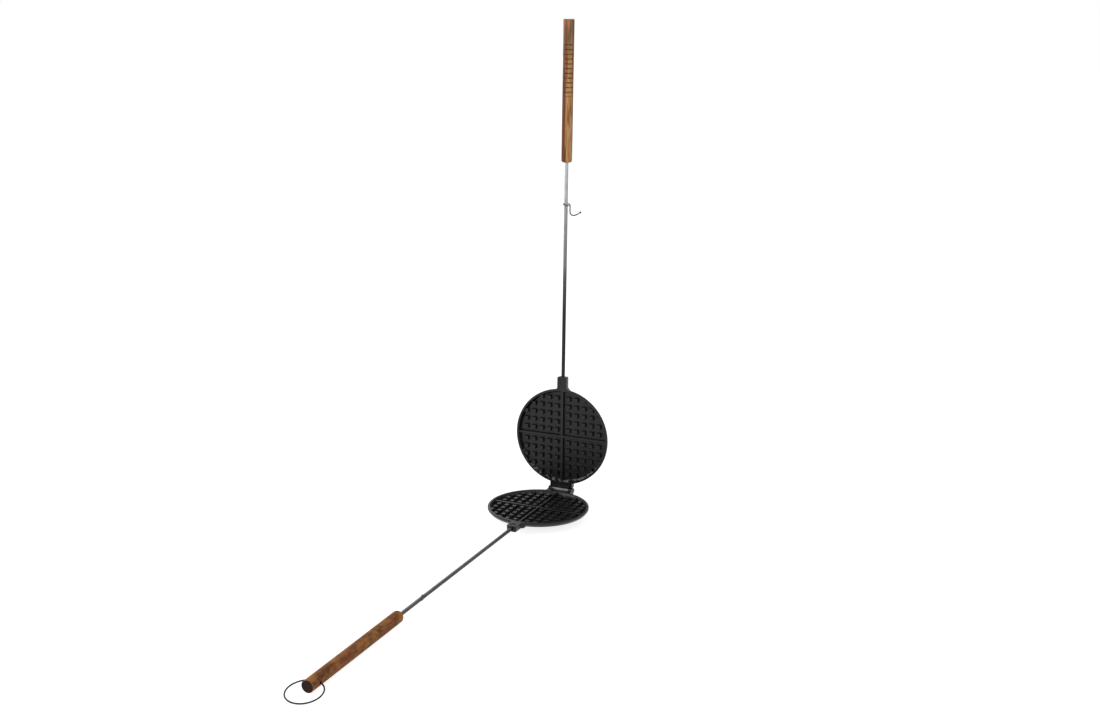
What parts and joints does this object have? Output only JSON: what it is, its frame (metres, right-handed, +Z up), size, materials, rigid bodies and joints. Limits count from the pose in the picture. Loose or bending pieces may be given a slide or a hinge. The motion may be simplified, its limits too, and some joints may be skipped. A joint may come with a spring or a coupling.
{
  "type": "waffle iron",
  "caption": "Round cast-iron waffle iron for a stove or camp fire: hinged gridded halves on long steel rods with wooden handles, a swinging wire latch hook and a hanging ring",
  "frame": {"origin": "centre of the foot ring's face under the lower half, where the iron stands", "axes": "+Z up, -Y along the lower handle, +X along the hinge, to the right when the handle points at the viewer"},
  "size_m": [0.18, 0.8988, 0.8651],
  "materials": {
    "iron": "sand-cast, seasoned near-black, faintly glossy",
    "pin_steel": "plain bright drawn steel",
    "rod_steel": "drawn steel bar, darkened towards the iron",
    "ring_steel": "plain bent wire",
    "hook_steel": "plain bent wire, dull",
    "lower_wood": "oiled, darkened with use",
    "upper_wood": "oiled, streaky"
  },
  "bodies": {
    "lower_half": {"lower_plate": "iron", "hinge_pin": "pin_steel", "lower_rod": "rod_steel", "lower_rod_pin": "pin_steel", "lower_handle": "lower_wood"},
    "upper_half": {"upper_plate": "iron", "upper_rod": "rod_steel", "upper_rod_pin": "pin_steel", "upper_handle": "upper_wood"},
    "latch": {"latch_hook": "hook_steel"},
    "ring": {"hang_ring": "ring_steel"}
  },
  "joints": [
    {"name": "plate_hinge", "type": "hinge", "parent": "lower_half", "child": "upper_half", "pos_m": [0, 0.1, 0.022], "axis": [1, 0, 0], "range_deg": [0, 90]},
    {"name": "latch_swing", "type": "hinge", "parent": "upper_half", "child": "latch", "pos_m": [0, 0.10896, 0.54653], "axis": [0, -0.0111, -0.9999], "range_deg": [-225, 90]},
    {"name": "ring_swing", "type": "hinge", "parent": "lower_half", "child": "ring", "pos_m": [0, -0.72446, 0.00971], "axis": [-1, 0, 0], "range_deg": [0, 140]}
  ]
}
